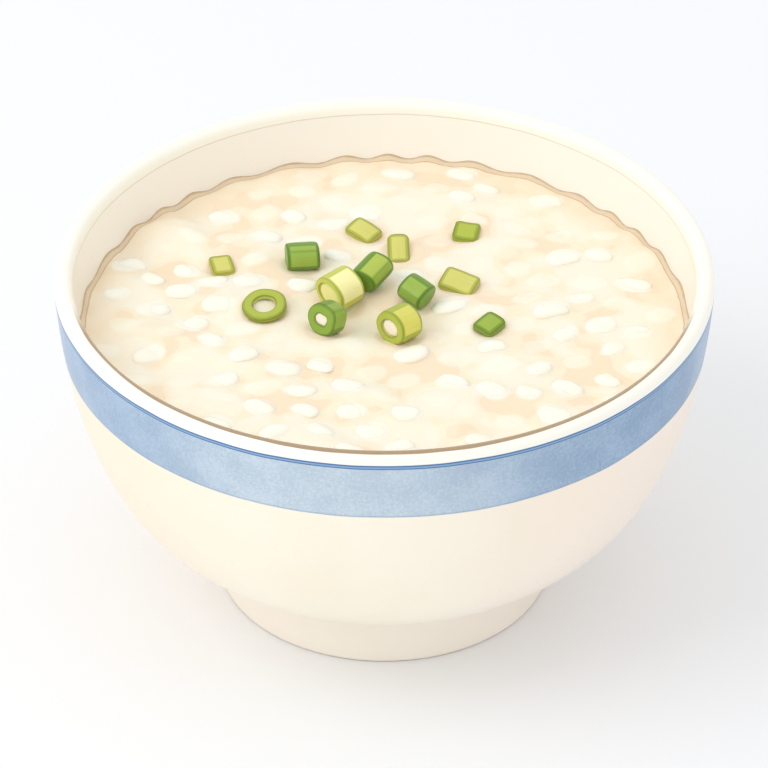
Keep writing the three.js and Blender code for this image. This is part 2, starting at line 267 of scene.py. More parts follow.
# How far a point is from the bowl's axis, and its height.
g, g_in, g_out = new_group(
    "from_axis", {"Position": ("NodeSocketVector", None)},
    {"Radius": "NodeSocketFloat", "Height": "NodeSocketFloat"})
split = g.node("ShaderNodeSeparateXYZ", {"Vector": g_in["Position"]}).outputs
level = g.node("ShaderNodeVectorMath", {0: g_in["Position"], 1: (1, 1, 0)}, operation="MULTIPLY")
length = g.node("ShaderNodeVectorMath", {0: level.outputs[0]}, operation="LENGTH")
g.feed(g_out["Radius"], length.outputs["Value"])
g.feed(g_out["Height"], split["Z"])

# Glaze: cream over the body, with painted shade in a warmer cream on its two flanks and a
# cooler painted shade on the foot, and whiter on the lip. A wide blue band, laid on with a
# soft brush as the bowl turned, runs under the lip with a double line along its top. Its
# blue is deeper on the right and on the left, partly thicker paint and partly painted
# shade. The levels are heights up the bowl, and the sides are degrees round it.
BAND_LOW, BAND_HIGH = 0.0672, 0.0808
LINE_HIGH = 0.0819
LIP_WHITE_LOW = 0.0811
WALL_WHITE_LOW, WALL_WHITE_HIGH = 0.064, 0.066
SHADE_LEFT_FLANK, SHADE_RIGHT_FLANK = 180, -20
DEEP_BLUE_RIGHT, DEEP_BLUE_LEFT = -8, 200
POOL_HEIGHT = 0.0004
NEAR_SIDE = -90
TRACE_RADIUS, TRACE_WIDTH = 0.0714, 0.0022
SOFT_EDGE = 0.0001

glaze, g, shader, place = new_material(
    "cream_glaze_with_blue_band", Specular_IOR_Level=0.4, Coat_Weight=0.1, Coat_Roughness=0.15)
axis = g.group("from_axis", {"Position": place})
body = g.group("cloudy", {"Position": place, "Patches per metre": 26.0,
                          "Grains per metre": 900.0, "Grain share": 0.12})
paint = g.group("cloudy", {"Position": place, "Patches per metre": 75.0,
                           "Grains per metre": 1500.0, "Grain share": 0.5})
waver = g.centred(g.noise(place, 60.0), 0.0006)
height = g.math("ADD", axis["Height"], waver)
outside = g.math("GREATER_THAN", axis["Radius"], RIM_RADIUS - 0.7 * LIP_THICKNESS)


def turned_to(degrees):
    """1 on the side of the bowl that faces this way round, falling to -1 on the other."""
    side = (math.cos(math.radians(degrees)), math.sin(math.radians(degrees)), 0)
    across = g.node("ShaderNodeVectorMath", {0: place, 1: side}, operation="DOT_PRODUCT")
    return g.math("DIVIDE", across.outputs["Value"], axis["Radius"])


color = g.mix(g.step(body["Cloud"], 0.38, 0.62), srgb(253, 243, 221), srgb(255, 247, 229))
# Painted shade: the left and right flanks are tinted a warmer, deeper cream.
for facing, warm in ((SHADE_LEFT_FLANK, srgb(253, 234, 207)), (SHADE_RIGHT_FLANK, srgb(252, 237, 222))):
    color = g.tint(color, g.step(turned_to(facing), 0.3, 1.1), warm)
# Painted shade: the foot, under the belly, is tinted a cooler, paler cream.
shaded_foot = g.fade(axis["Height"], FOOT_HEIGHT - 0.001, FOOT_HEIGHT)
color = g.tint(color, shaded_foot, srgb(252, 243, 230), 0.9)
inner_wall = g.math("MULTIPLY", g.math("SUBTRACT", 1.0, outside),
                    g.step(axis["Height"], WALL_WHITE_LOW, WALL_WHITE_HIGH))
color = g.tint(color, inner_wall, srgb(253, 249, 240))
lip_line = g.between(height, LIP_WHITE_LOW - 0.0003, LIP_WHITE_LOW, SOFT_EDGE)
color = g.tint(color, lip_line, srgb(222, 206, 188), 0.7)
on_lip = g.step(height, LIP_WHITE_LOW - SOFT_EDGE, LIP_WHITE_LOW + SOFT_EDGE)
color = g.tint(color, on_lip, srgb(255, 253, 242))

# The blue is deeper on the right and on the left: partly thicker paint, partly painted shade.
deeper_and_shaded = g.math("MAXIMUM", g.step(turned_to(DEEP_BLUE_RIGHT), 0.05, 0.95),
               g.step(turned_to(DEEP_BLUE_LEFT), 0.6, 1.1))
brushed = g.step(paint["Cloud"], 0.36, 0.64)
pale_band_blue = g.mix(brushed, srgb(184, 201, 216), srgb(207, 221, 231))
deep_shaded_blue = g.mix(brushed, srgb(124, 155, 189), srgb(152, 179, 208))
band = g.mix(deeper_and_shaded, pale_band_blue, deep_shaded_blue)
pool = g.between(height, BAND_LOW, BAND_LOW + POOL_HEIGHT, POOL_HEIGHT / 2)
band = g.tint(band, pool, srgb(122, 150, 184), 0.5)
line_middle = g.between(height, BAND_HIGH + 0.0003, LINE_HIGH - 0.0004, SOFT_EDGE)
line = g.mix(line_middle, srgb(72, 112, 164), srgb(132, 174, 212))
for low, high, blue in ((BAND_LOW, BAND_HIGH, band), (BAND_HIGH, LINE_HIGH, line)):
    painted = g.math("MULTIPLY", outside, g.between(height, low, high, SOFT_EDGE))
    color = g.tint(color, painted, blue)
bare_clay = g.fade(axis["Height"], 0.0002, 0.0005)
color = g.tint(color, bare_clay, srgb(224, 211, 192))

# A thin tan-brown line runs along the near side of the lip's inner edge.
nearness = turned_to(NEAR_SIDE)
trace_edge = g.ramp(nearness, TRACE_RADIUS, TRACE_WIDTH)
within = g.math("SUBTRACT", trace_edge, g.math("ADD", axis["Radius"], waver))
trace = g.math("MULTIPLY", g.step(within, -SOFT_EDGE, SOFT_EDGE),
               g.step(axis["Height"], BOWL_HEIGHT - 0.0014, BOWL_HEIGHT - 0.0012))
trace = g.math("MULTIPLY", trace, g.step(nearness, 0.2, 0.4))
near_lip_brown = g.mix(paint["Grain"], srgb(154, 124, 88), srgb(181, 153, 116))
g.feed(shader["Base Color"], g.tint(color, trace, near_lip_brown, 0.95))
gloss = g.ramp(body["Grain"], 0.24, 0.12)
g.feed(shader["Roughness"], g.math("ADD", gloss, g.math("MULTIPLY", bare_clay, 0.45)))
g.feed(shader["Normal"], g.bump(g.noise(place, 150.0), 0.0002, 0.12))

bowl.data.materials.append(glaze)
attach(bowl, "root")
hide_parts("bowl")

# ---------------------------------------------------------------------------
# Congee: rice simmered until it breaks up and thickens the water, poured in to a level
# under the lip. Grains under its skin raise it, and it has crept up the wall in a wavy edge.
# ---------------------------------------------------------------------------
CONGEE_LEVEL = 0.069
LUMP_COUNT = 9
LUMP_HEIGHT = 0.00045
LUMP_LENGTH, LUMP_SPREAD = 0.016, 0.022
EDGE_WAVES = 36
EDGE_WAVE_DRIFT = 1.3
EDGE_WAVE_HEIGHT = 0.00065
EDGE_WAVE_REACH = 0.005
FILM_WIDTH = 0.0015
FILM_RISE = 0.0009
INTO_WALL = 0.0002
CALM_EDGE = 0.003
FLOOR_DIP = 0.0007
HEAP_LIMIT = 0.0015
SKIN_BED = 0.0003
SKIN_HOLLOWS = 0.0003
SKIN_CELLS = 290
RINGS_CLOSER, CLOSER_WITHIN = 0.7, 0.0012


def random_stream(seed):
    """Repeatable numbers from 0 to 1, the same ones that place the solid's own grains."""
    state = seed

    def draw():
        nonlocal state
        state = (state + 0x6D2B79F5) & 0xFFFFFFFF
        mixed = ((state ^ (state >> 15)) * (1 | state)) & 0xFFFFFFFF
        mixed = ((mixed + ((mixed ^ (mixed >> 7)) * (61 | mixed))) & 0xFFFFFFFF) ^ mixed
        return ((mixed ^ (mixed >> 14)) & 0xFFFFFFFF) / 4294967296

    return draw


draw = random_stream(17)
lumps = []
for _ in range(LUMP_COUNT):
    heading = draw() * 2 * math.pi
    pace = 2 * math.pi / (LUMP_LENGTH + LUMP_SPREAD * draw())
    lumps.append((pace * math.cos(heading), pace * math.sin(heading), draw() * 2 * math.pi))


def wall_radius(level):
    """How far out the wall's inner face is at a height near the congee's edge."""
    high, low = inside_wall(0.13), inside_wall(0.3)
    return high.x + (low.x - high.x) * (high.y - level) / (high.y - low.y)


edge_radius = wall_radius(CONGEE_LEVEL)


def congee_height(x, y):
    """The height of the congee's skin, without its grains, at x and y."""
    inward = np.clip((edge_radius - np.hypot(x, y)) / EDGE_WAVE_REACH, 0, 1)
    edge = (1 - inward) ** 2
    swell = sum(np.cos(kx * x + ky * y + phase) for kx, ky, phase in lumps)
    angle = np.arctan2(y, x)
    drift = EDGE_WAVE_DRIFT * np.sin(7 * angle + 2)
    wave = np.cos(EDGE_WAVES * angle + drift) + 0.35 * np.sin(5 * angle + 1)
    return CONGEE_LEVEL + LUMP_HEIGHT / 2 * swell * (1 - edge) + EDGE_WAVE_HEIGHT * wave * edge


# The scallion on top, as it lies: x, y and half its length for each piece.
SCALLION_LIES = {
    "ring_flat": (-0.0275, 0.0034, 0.0050), "ring_green": (-0.0130, -0.0057, 0.0046),
    "tube_front": (0.0034, -0.0067, 0.0050), "tube_pale": (-0.0102, 0.0075, 0.0054),
    "tube_left": (-0.0191, 0.0225, 0.0044), "tube_leaning": (-0.0028, 0.0131, 0.0046),
    "tube_right": (0.0073, 0.0062, 0.0043), "chip_west": (-0.0379, 0.0218, 0.0034),
    "chip_north": (-0.0049, 0.0363, 0.0042), "chip_upright": (0.0033, 0.0278, 0.0038),
    "chip_east": (0.0173, 0.0135, 0.0044), "chip_far": (0.0193, 0.0353, 0.0034),
    "chip_near": (0.0239, -0.0041, 0.0034),
}
# The flat pieces lie tipped on low heaps: how high each heap stands, and its slope in degrees.
HEAPS = {
    "ring_flat": (0.0009, 16), "chip_west": (0.0003, 14), "chip_north": (0.0005, 14),
    "chip_upright": (0.0003, 16), "chip_east": (0.0005, 14), "chip_far": (0.0004, 14),
    "chip_near": (0.0004, 14),
}


def clear_of_scallion(x, y, room):
    return all(math.hypot(x - sx, y - sy) > half + room for sx, sy, half in SCALLION_LIES.values())


# Grains near the skin: spread by the sunflower rule, then nudged and turned. About half
# break the skin and show white. The rest, and those by the scallion, lie just under it.
GRAIN_COUNT = 156
GRAIN_FIELD = 0.065
GRAIN_SIZE = Vector((0.0079, 0.0057, 0.0026))
GRAIN_NUDGE = 0.0024
GRAIN_TURNS = (0.5, 0.15, 1.5)
SHOWING_SHARE = 0.56
CLEAR_ROOM = 0.0014
SUNK_ROOM = 0.0032
GRAIN_SINK = 0.0004
GRAIN_REACH = 0.0075
GRAIN_RAGGED = 0.0007
GRAIN_DOME = 1.3
SUNK_SWELL, SHOWN_SWELL = 0.0002, 0.0003
draw = random_stream(5)
chance = np.random.default_rng(31)
grains = []
for i in range(GRAIN_COUNT):
    reach = GRAIN_FIELD * math.sqrt((i + 0.5) / GRAIN_COUNT)
    angle = i * math.pi * (3 - math.sqrt(5))
    x = reach * math.cos(angle) + GRAIN_NUDGE * (draw() - 0.5)
    y = reach * math.sin(angle) + GRAIN_NUDGE * (draw() - 0.5)
    size = 0.8 + 0.35 * draw()
    turning = Euler([(draw() - 0.5) * turn for turn in GRAIN_TURNS])
    sunk = GRAIN_SINK * (draw() - 0.5)
    shows = 1.0 if chance.random() < SHOWING_SHARE else chance.uniform(0.2, 0.7)
    if not clear_of_scallion(x, y, SUNK_ROOM):
        shows = min(shows, 0.7)
    if clear_of_scallion(x, y, CLEAR_ROOM):
        grains.append((x, y, size, turning, sunk, shows))


def noise_over(x, y, per_metre, layer):
    """Smooth noise, about -0.5 to 0.5, at each x and y."""
    places = zip(x * per_metre, y * per_metre)
    return np.array([noise.noise(Vector((px, py, layer))) for px, py in places])


# The skin starts as a square grid, rounded out to a disc with its rings closer at the wall.
bpy.ops.object.select_all(action="DESELECT")
bpy.ops.mesh.primitive_grid_add(x_subdivisions=SKIN_CELLS, y_subdivisions=SKIN_CELLS, size=2)
congee = bpy.context.object
congee.name = "congee_mass"
square = np.array([corner.co for corner in congee.data.vertices])
wide = np.abs(square[:, 0]) > np.abs(square[:, 1])
far = np.where(wide, square[:, 0], square[:, 1])
near = np.where(wide, square[:, 1], square[:, 0])
turn = np.pi / 4 * near / np.where(far == 0, 1, far)
from_wall = edge_radius * (1 - np.abs(far))
spread = edge_radius - from_wall * (1 - RINGS_CLOSER * np.exp(-from_wall / CLOSER_WITHIN))
spread = np.sign(far) * np.where(far == 0, 0, spread)
x = spread * np.where(wide, np.cos(turn), np.sin(turn))
y = spread * np.where(wide, np.sin(turn), np.cos(turn))

# The skin swells over each grain, with a ragged outline, and thins to hollows between them.
from_wall = edge_radius - np.hypot(x, y)
hollow = noise_over(x, y, 75, 3) + 0.45 * noise_over(x, y, 190, 8)
skin_lift = np.full_like(x, SKIN_BED) - SKIN_HOLLOWS * np.clip(hollow, -0.4, 0.4)
grain_shows = np.zeros_like(x)
ragged_x = x + GRAIN_RAGGED * noise_over(x, y, 260, 11)
ragged_y = y + GRAIN_RAGGED * noise_over(x, y, 260, 17)
for grain_x, grain_y, size, turning, _, shows in grains:
    turn = turning.z
    near = np.hypot(x - grain_x, y - grain_y) < GRAIN_REACH
    dx, dy = ragged_x[near] - grain_x, ragged_y[near] - grain_y
    along = (dx * math.cos(turn) + dy * math.sin(turn)) / (GRAIN_SIZE.x * size / 2)
    across = (dy * math.cos(turn) - dx * math.sin(turn)) / (GRAIN_SIZE.y * size / 2)
    reach = np.hypot(along, across)
    dome = np.clip(1 - (reach / GRAIN_DOME) ** 2, 0, 1) ** 1.5
    skin_lift[near] += (SUNK_SWELL + SHOWN_SWELL * shows) * dome
    grain_shows[near] = np.maximum(grain_shows[near], np.clip((1.06 - reach) / 0.2, 0, 1) * shows)

# By the scallion and the wall it lies still, and it heaps up under the tipped pieces.
open_skin = np.clip(from_wall / CALM_EDGE, 0, 1)
# How near each point lies to a scallion piece: there the starch is painted with peach shade, and
# its grains show less.
shade_by_scallion = np.zeros_like(x)
for scallion_x, scallion_y, half in SCALLION_LIES.values():
    from_piece = np.hypot(x - scallion_x, y - scallion_y) - half
    beside = np.clip(1 - (from_piece + 0.0005) / 0.0035, 0, 1) * (from_piece > -0.0015)
    shade_by_scallion = np.maximum(shade_by_scallion, beside)
    open_skin = np.minimum(open_skin, np.clip((from_piece + 0.0006) / 0.0018, 0, 1))
open_skin = open_skin * open_skin * (3 - 2 * open_skin)
heap = np.zeros_like(x)
for name, (stands, slope) in HEAPS.items():
    heap_x, heap_y, half = SCALLION_LIES[name]
    rise = np.clip(stands + math.tan(math.radians(slope)) * (y - heap_y), 0, HEAP_LIMIT)
    share = np.clip(1.8 - np.hypot(x - heap_x, y - heap_y) / half, 0, 1)
    heap = np.maximum(heap, rise * share * share * (3 - 2 * share))

# A film of starch has crept up the wall, and its edge runs into the glaze.
film = np.clip(1 - from_wall / FILM_WIDTH, 0, 1)
z = congee_height(x, y) + skin_lift * open_skin + heap + FILM_RISE * film ** 2
at_wall = np.clip(1 - from_wall / CALM_EDGE, 0, 1)
fit = 1 + (wall_radius(z) + INTO_WALL - edge_radius) / edge_radius * at_wall
congee.data.vertices.foreach_set("co", np.column_stack((x * fit, y * fit, z)).ravel())


def store(mesh, name, kind, values):
    """A value for each corner of the mesh, kept under a name that its material reads."""
    attribute = mesh.attributes.new(name, kind, "POINT")
    key = "vector" if kind == "FLOAT_VECTOR" else "value"
    attribute.data.foreach_set(key, np.asarray(values, np.float32).ravel())


store(congee.data, "grain_shows", "FLOAT", grain_shows * open_skin * (1 - 0.6 * shade_by_scallion))
store(congee.data, "hollow", "FLOAT", hollow)
store(congee.data, "shade_by_scallion", "FLOAT", shade_by_scallion)

# The sides and underside are extruded down the inside of the bowl, a hair into its glaze.
bpy.ops.object.mode_set(mode="EDIT")
bpy.ops.mesh.select_mode(type="VERT")
bpy.ops.mesh.select_all(action="DESELECT")
bpy.ops.mesh.select_non_manifold()
side = [inside_wall(t, -INTO_WALL) for t in (0.3, 0.47, 0.64, 0.82, 1.0)]
fall = 0.75 * math.tan(BELLY_SLOPE) * floor_edge.x / 2
side.append(Vector((floor_edge.x / 2, floor_edge.y - fall)))
radius = edge_radius + INTO_WALL
for k, point in enumerate(side):
    drop = (0, 0, point.y - side[k - 1].y if k else 0)
    bpy.ops.mesh.extrude_region_move(TRANSFORM_OT_translate={"value": drop})
    share = point.x / radius
    bpy.ops.transform.resize(value=(share, share, 1 if k else 0), center_override=(0, 0, point.y))
    radius = point.x
bpy.ops.mesh.extrude_region_move(TRANSFORM_OT_translate={"value": (0, 0, -FLOOR_DIP)})
bpy.ops.mesh.merge(type="CENTER")
bpy.ops.mesh.select_all(action="SELECT")
bpy.ops.mesh.normals_make_consistent(inside=False)
bpy.ops.object.mode_set(mode="OBJECT")
bpy.ops.object.shade_smooth()

# Starch is white over the grains near its skin, a warm cream between them and almost peach
# in the hollows. Round the scallion and towards the wall its peach is painted shade. The
# film at the wall is tan, its edges darker.
starch, s, shader, place = new_material(
    "congee_starch", Specular_IOR_Level=0.35, Subsurface_Weight=0.3,
    Subsurface_Radius=(0.0022, 0.0017, 0.0011), Subsurface_Scale=1.0)
axis = s.group("from_axis", {"Position": place})
clouds = s.group("cloudy", {"Position": place, "Patches per metre": 110.0,
                            "Grains per metre": 420.0, "Grain share": 0.3})
depth = s.math("ADD", s.stored("hollow")["Fac"], s.centred(clouds["Cloud"], 0.7))
peach = srgb(251, 229, 200)
color = s.mix(s.step(depth, -0.16, 0.1), srgb(253, 243, 223), srgb(252, 238, 212))
color = s.tint(color, s.step(depth, 0.16, 0.26), peach)
# Painted shade: a peach tint round the scallion pieces.
color = s.tint(color, s.stored("shade_by_scallion")["Fac"], srgb(255, 230, 204), 0.85)
# Painted shade: the starch turns peach towards the wall, which shades the congee's edge.
wall_shade = s.step(axis["Radius"], edge_radius - 0.012, edge_radius - 0.002)
color = s.tint(color, wall_shade, peach, 0.6)
color = s.tint(color, s.stored("grain_shows")["Fac"], srgb(254, 250, 234))
uneven = s.centred(clouds["Grain"], 0.0006)
from_edge = s.math("SUBTRACT", edge_radius, s.math("ADD", axis["Radius"], uneven))
film_core = s.between(from_edge, 0.0002, 0.00105, 0.0001)
film_color = s.mix(film_core, srgb(210, 183, 148), srgb(237, 213, 182))
color = s.tint(color, s.fade(from_edge, 0.0012, 0.0014), film_color)
s.feed(shader["Base Color"], color)
s.feed(shader["Roughness"], s.ramp(clouds["Grain"], 0.34, 0.16))
s.feed(shader["Normal"], s.bump(clouds["Grain"], 0.0002, 0.15))

congee.data.materials.append(starch)
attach(congee, "root")
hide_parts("congee")

# ---------------------------------------------------------------------------
# Rice: swollen grains, soft and white, that break the congee's skin. One straight, one bent
# and one burst grain are shaped, then copied over the bowl, each kind joined as one piece.
# ---------------------------------------------------------------------------
GRAIN_RISE = 0.0012


def swollen_grain(name, bend, burst):
    """A grain of unit length, width and depth lying along X at the origin."""
    bpy.ops.object.select_all(action="DESELECT")
    bpy.ops.mesh.primitive_uv_sphere_add(segments=12, ring_count=8, radius=0.5)
    grain = bpy.context.object
    grain.name = name
    bpy.ops.object.mode_set(mode="EDIT")
    bpy.ops.mesh.select_all(action="SELECT")
    bpy.ops.transform.rotate(value=math.pi / 2, orient_axis="Y", center_override=(0, 0, 0))
    bpy.ops.object.mode_set(mode="OBJECT")
    for corner in grain.data.vertices:
        x, y, z = corner.co
        blunt = 1 + 0.9 * x * x
        open_end = 1 + burst * max(0.0, x - 0.1)
        corner.co = (x, y * blunt * open_end + bend * (x * x - 0.08), z * blunt / open_end)
    bpy.ops.object.shade_smooth()
    return grain


def pick(pieces):
    """Selects these pieces and nothing else, the first of them active."""
    bpy.ops.object.select_all(action="DESELECT")
    for piece in pieces:
        piece.select_set(True)
    bpy.context.view_layer.objects.active = pieces[0]


def scatter(kind, name, lies):
    """Copies of one grain, each laid by its own matrix, joined as one mesh at the origin."""
    copies = []
    for lie in lies:
        grain = kind.copy()
        grain.data = kind.data.copy()
        grain.data.transform(lie)
        bpy.context.collection.objects.link(grain)
        copies.append(grain)
    pick(copies)
    bpy.ops.object.join()
    copies[0].name = name
    return copies[0]


rice, r, shader, place = new_material(
    "cooked_rice", Specular_IOR_Level=0.25, Subsurface_Weight=0.15,
    Subsurface_Radius=(0.0009, 0.0008, 0.0007), Subsurface_Scale=1.0)
bloom = r.group("cloudy", {"Position": place, "Patches per metre": 400.0,
                           "Grains per metre": 2200.0, "Grain share": 0.35})
r.feed(shader["Base Color"],
       r.mix(r.step(bloom["Cloud"], 0.36, 0.64), srgb(254, 250, 233), srgb(255, 252, 240)))
r.feed(shader["Roughness"], r.ramp(bloom["Grain"], 0.3, 0.2))
r.feed(shader["Normal"], r.bump(bloom["Cloud"], 0.0002, 0.15))

grain_kinds = {
    "straight": swollen_grain("straight_grain", 0.0, 0.0),
    "bent": swollen_grain("bent_grain", 0.55, 0.0),
    "burst": swollen_grain("burst_grain", -0.35, 0.7),
}
lies = {name: [] for name in grain_kinds}
for i, (x, y, size, turning, sunk, shows) in enumerate(grains):
    if shows == 1.0:
        top = float(congee_height(x, y)) + GRAIN_RISE + sunk
        at = Matrix.Translation((x, y, top - GRAIN_SIZE.z * size / 2))
        scale = Matrix.Diagonal((*(GRAIN_SIZE * size), 1))
        kind = list(grain_kinds)[i % 3]
        lies[kind].append(at @ turning.to_matrix().to_4x4() @ scale)
for kind, grain in grain_kinds.items():
    grains_shown = scatter(grain, "rice_" + kind, lies[kind])
    grains_shown.data.materials.append(rice)
    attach(grains_shown, "root")
    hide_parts("congee")
    bpy.data.objects.remove(grain)

# ---------------------------------------------------------------------------
# Scallion tubes: lengths sliced from the leaf, which the knife pressed shut, and from the
# thicker neck of the stalk, which stayed open and has congee or its own core in it.
# ---------------------------------------------------------------------------
TUBE_SIDES = 72
RING_SPACING = 0.0006
CUT_BORDER = 0.0008
EASED = 0.00035
VEINS_PER_METRE = (2600, 2600, 160)
FILL_BLUNTNESS = 0.65


def scallion_skin(name, skin, border, cut_face, inner, border_width=CUT_BORDER):
    """Wet leaf: veins along the stalk, darker towards its cuts and round its sides away from its
    paler face, a darker line at its crease with painted shade past it, bruised darker still
    where the knife went in, and paler inside. The colours are of its skin, of the border along
    its cuts, of a cut's own face and of its inside."""
    skin, border, cut_face, inner = (srgb(*color) for color in (skin, border, cut_face, inner))
    bruised = (*(0.6 * channel for channel in border[:3]), 1)
    material, n, shader, place = new_material(
        name, Specular_IOR_Level=0.3, Subsurface_Weight=0.08,
        Subsurface_Radius=(0.0008, 0.0010, 0.0004), Subsurface_Scale=1.0, Coat_Weight=0.05)
    tone = n.group("cloudy", {"Position": place, "Patches per metre": 260.0,
                              "Grains per metre": 2500.0, "Grain share": 0.3})
    from_cut, depth = n.stored("from_cut")["Fac"], n.stored("depth")["Fac"]
    along = n.node("ShaderNodeVectorMath", {0: n.stored("stalk_place")["Vector"],
                                            1: VEINS_PER_METRE}, operation="MULTIPLY")
    veins = n.noise(along.outputs[0], 1.0)
    color = n.tint(skin, n.step(tone["Cloud"], 0.35, 0.65), border, 0.08)
    color = n.tint(color, n.step(veins, 0.52, 0.72), border, 0.12)
    # Painted shade on the side past the crease.
    color = n.tint(color, n.stored("painted_side_shade")["Fac"], border, 0.45)
    color = n.tint(color, n.stored("crease")["Fac"], border, 0.7)
    near_cut = n.fade(from_cut, border_width * 0.85, border_width * 1.15)
    # Darker round its sides, from about 45 degrees off the middle of its paler face.
    off_face_sides = n.step(n.stored("from_face")["Fac"], 0.78, 0.9)
    color = n.tint(color, n.math("MAXIMUM", near_cut, off_face_sides), border)
    on_face = n.math("MULTIPLY", n.fade(from_cut, 0.00003, 0.00012),
                     n.step(n.stored("from_skin")["Fac"], EASED, EASED + 0.0001))
    color = n.tint(color, on_face, cut_face)
    knife_line = n.between(from_cut, 0.00012, 0.0005, 0.00005)
    color = n.tint(color, knife_line, bruised, 0.7)
    color = n.tint(color, n.step(depth, 0.88, 0.96), inner)
    hole_edge = n.math("MULTIPLY", n.step(depth, 0.8, 0.88), n.fade(from_cut, 0.0003, 0.0004))
    color = n.tint(color, hole_edge, bruised, 0.8)
    n.feed(shader["Base Color"], color)
    n.feed(shader["Roughness"], n.ramp(tone["Grain"], 0.26, 0.2))
    n.feed(shader["Normal"], n.bump(veins, 0.0002, 0.3))
    return material


leaf_green = scallion_skin("leaf_green", (159, 187, 81), (112, 151, 52),
                           (124, 160, 60), (124, 160, 60))
young_green = scallion_skin("young_leaf_green", (181, 199, 86), (108, 148, 44),
                            (128, 166, 62), (128, 166, 62))
ring_green = scallion_skin("ring_green", (150, 178, 74), (116, 149, 50),
                           (138, 172, 62), (226, 226, 150), border_width=0.0001)
flat_green = scallion_skin("flat_ring_green", (178, 192, 78), (158, 170, 62),
                           (177, 191, 75), (204, 210, 116))
front_green = scallion_skin("yellow_green", (223, 219, 108), (174, 186, 70),
                            (181, 193, 80), (228, 228, 136))
stem_cream = scallion_skin("stem_cream", (255, 247, 181), (200, 206, 88),
                           (208, 215, 100), (244, 242, 166))
stem_core = scallion_skin("stem_core", (250, 248, 176), (240, 238, 156),
                          (250, 248, 176), (250, 248, 176))


def lay(piece, turning, name, lift, node, material):
    """Puts a finished piece on the congee, its place in its mesh, in place of its solid."""
    x, y, _ = SCALLION_LIES[name]
    level = float(congee_height(x, y)) + lift
    piece.data.transform(Matrix.Translation((x, y, level)) @ turning)
    piece.data.materials.append(material)
    pick([piece])
    bpy.ops.object.shade_smooth_by_angle(angle=math.radians(55))
    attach(piece, "root")
    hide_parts(node)


def ease_cuts(piece):
    """Takes the sharpness off the edges that the knife left."""
    ease = piece.modifiers.new("eased_cuts", "BEVEL")
    ease.width = EASED
    ease.segments = 3
    ease.limit_method = "ANGLE"
    ease.angle_limit = math.radians(50)
    bpy.ops.object.modifier_apply(modifier="eased_cuts")


def cut_tube(name, material, lift, heading, pitch, across, deep, wall, length,
             face=None, crease=None, shade_past_crease=0.0, shut=False, squared=0.0):
    """A length of scallion. heading and pitch aim it, face is the angle round it of the
    middle of its paler side, and crease is how far from there it is creased, all in degrees.
    The argument after crease sets the painted shade past the crease. One that is shut has
    closed ends, and squared is how far the hollow of one that stayed open is out of round."""
    bpy.ops.object.select_all(action="DESELECT")
    bpy.ops.mesh.primitive_circle_add(vertices=TUBE_SIDES, radius=0.5, fill_type="NGON",
                                      location=(0, 0, -length / 2))
    tube = bpy.context.object
    tube.name = name
    bpy.ops.object.transform_apply(location=True, rotation=True, scale=True)
    bpy.ops.object.mode_set(mode="EDIT")
    bpy.ops.mesh.select_all(action="SELECT")
    bpy.ops.transform.resize(value=(deep, across, 1), center_override=(0, 0, 0))
    bpy.ops.mesh.inset(thickness=wall, use_even_offset=True)
    if not shut:
        bpy.ops.mesh.delete(type="FACE")
    bpy.ops.mesh.select_all(action="SELECT")
    steps = round(length / RING_SPACING)
    step = (0, 0, length / steps)
    for _ in range(steps):
        bpy.ops.mesh.extrude_region_move(TRANSFORM_OT_translate={"value": step})
    bpy.ops.mesh.select_all(action="SELECT")
    bpy.ops.mesh.normals_make_consistent(inside=False)
    bpy.ops.object.mode_set(mode="OBJECT")
    ease_cuts(tube)

    co = np.array([corner.co for corner in tube.data.vertices])
    angle = np.arctan2(co[:, 1] / across, co[:, 0] / deep)
    edge = np.hypot(deep / 2 * np.cos(angle), across / 2 * np.sin(angle))
    from_skin = edge - np.hypot(co[:, 0], co[:, 1])
    # How deep in its wall a point is. One that is shut has no inside, so it stops short of it.
    depth = np.minimum(from_skin / wall, 0.5 if shut else 1)
    store(tube.data, "stalk_place", "FLOAT_VECTOR", co)
    store(tube.data, "from_cut", "FLOAT", length / 2 - np.abs(co[:, 2]))
    store(tube.data, "from_skin", "FLOAT", from_skin)
    store(tube.data, "depth", "FLOAT", depth)

    # A creased leaf stands up along its crease and dips on both sides of it.
    ridge = np.zeros(len(co))
    if face is not None:
        off = np.angle(np.exp(1j * (angle - math.radians(face))))
        store(tube.data, "from_face", "FLOAT", np.abs(off) * (depth < 0.6))
    if crease is not None:
        past = off * np.sign(crease) - abs(math.radians(crease))
        line = np.exp(-(past / 0.07) ** 2) * (depth < 0.5)
        store(tube.data, "crease", "FLOAT", line)
        # Painted shade over the side past the crease.
        store(tube.data, "painted_side_shade", "FLOAT", shade_past_crease * np.clip(past / 0.05, 0, 1))
        dips = np.exp(-((np.abs(past) - 0.8) / 0.4) ** 2)
        ridge = 0.07 * np.exp(-(past / 0.35) ** 2) - 0.04 * dips

    # No length of scallion is quite round or straight, nor are its two cuts quite square.
    x, y, _ = SCALLION_LIES[name]
    swell = 1 + ridge + 0.02 * np.sin(2 * angle + 300 * x) + 0.012 * np.sin(5 * angle + 500 * y)
    swell *= 1 - (0.1 if shut else 0.05) * np.abs(2 * co[:, 2] / length) ** 6
    swell -= squared * depth ** 2 * np.cos(4 * angle + 0.6)
    slant = 0.04 * co[:, 0] * np.sin(700 * y) + 0.04 * co[:, 1] * np.cos(500 * x)
    co = np.column_stack((co[:, 0] * swell, co[:, 1] * swell, co[:, 2] + slant))
    tube.data.vertices.foreach_set("co", co.ravel())
    turning = (Matrix.Rotation(math.radians(heading), 4, "Z")
               @ Matrix.Rotation(math.radians(90 - pitch), 4, "Y"))
    lay(tube, turning, name, lift, "scallion_" + name, material)
    return turning


